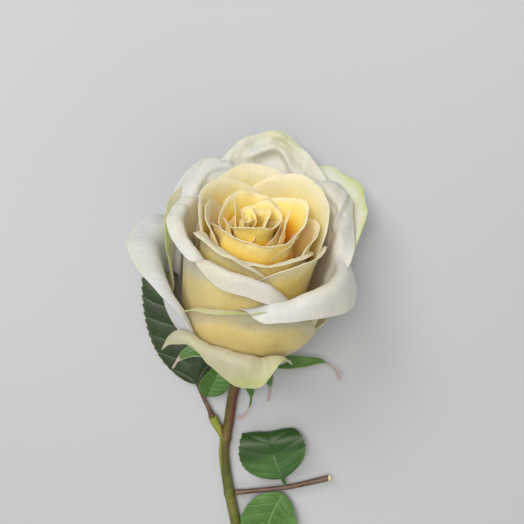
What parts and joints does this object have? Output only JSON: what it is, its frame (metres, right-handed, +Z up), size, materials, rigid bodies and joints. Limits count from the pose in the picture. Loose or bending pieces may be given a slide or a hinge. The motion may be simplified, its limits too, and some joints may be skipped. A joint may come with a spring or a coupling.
{
  "type": "cut rose",
  "caption": "Cut rose lying on its side: half-open bloom of layered, folded petals on a receptacle with sepals, a prickly stem and toothed leaflets.",
  "frame": {"origin": "middle of the box round the rose, at the surface that it lies on", "axes": "+Z up from the surface, +Y along the stem towards the bloom, +X to the right seen from above with the bloom away"},
  "size_m": [0.0969, 0.2535, 0.0773],
  "materials": {
    "outer_petal": "soft, velvety matt petal, white with cream bases and green tips",
    "cup_petal": "soft, velvety matt petal, cream to pale yellow with a white rim",
    "heart_petal": "soft, velvety matt petal, golden yellow to orange",
    "receptacle": "smooth, waxy green skin",
    "sepal": "matt green leaf skin with a pale, downy edge",
    "stem": "smooth, waxy skin, red-brown above and olive green below",
    "leaf_stalk": "smooth, waxy red-brown skin",
    "leaf": "satin green leaf with paler veins and edge"
  },
  "bodies": {
    "root": {"outer_petals": "outer_petal", "cup_petals": "cup_petal", "heart_petals": "heart_petal", "receptacle": "receptacle", "sepal_1": "sepal", "sepal_2": "sepal", "sepal_3": "sepal", "sepal_4": "sepal", "sepal_5": "sepal", "stem": "stem", "leaf_stalk_left": "leaf_stalk", "leaf_stalk_right": "leaf_stalk", "leaflet_left_large": "leaf", "leaflet_left_small": "leaf", "leaflet_right_upper": "leaf", "leaflet_right_lower": "leaf"}
  },
  "joints": []
}
